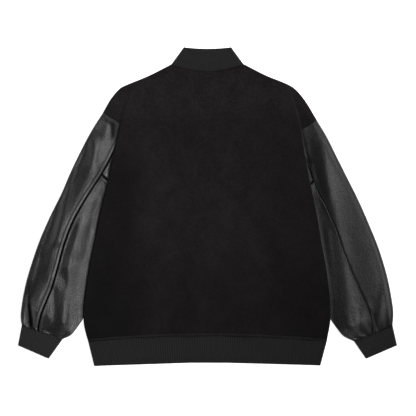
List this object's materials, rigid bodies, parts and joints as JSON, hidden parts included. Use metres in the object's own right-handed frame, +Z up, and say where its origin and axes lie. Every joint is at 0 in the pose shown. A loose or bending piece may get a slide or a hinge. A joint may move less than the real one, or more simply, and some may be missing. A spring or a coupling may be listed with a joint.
{
  "type": "varsity jacket",
  "caption": "Oversize varsity jacket laid flat on its front: wool body, leather-look sleeves, rib-knit collar, cuffs and hem, snap front.",
  "frame": {"origin": "centre of the jacket's bounding box, on the surface it lies on", "axes": "+Z up from the surface, +Y towards the collar, +X to the right as seen from above the back"},
  "size_m": [0.931, 0.7823, 0.0284],
  "materials": {
    "wool": "matt brushed wool",
    "sleeve_leather": "soft sheen, fine pebble grain",
    "rib_knit": "matt rib knit",
    "snap": "dark satin"
  },
  "bodies": {
    "root": {"back": "wool", "front_left": "wool", "front_right": "wool", "snap_1": "snap", "snap_2": "snap", "snap_3": "snap", "snap_4": "snap", "snap_5": "snap", "snap_6": "snap", "sleeve_left_upper": "sleeve_leather", "sleeve_left_gusset": "sleeve_leather", "sleeve_left_under": "sleeve_leather", "cuff_left": "rib_knit", "sleeve_right_upper": "sleeve_leather", "sleeve_right_gusset": "sleeve_leather", "sleeve_right_under": "sleeve_leather", "cuff_right": "rib_knit", "hem_rib": "rib_knit", "collar": "rib_knit"}
  },
  "joints": []
}
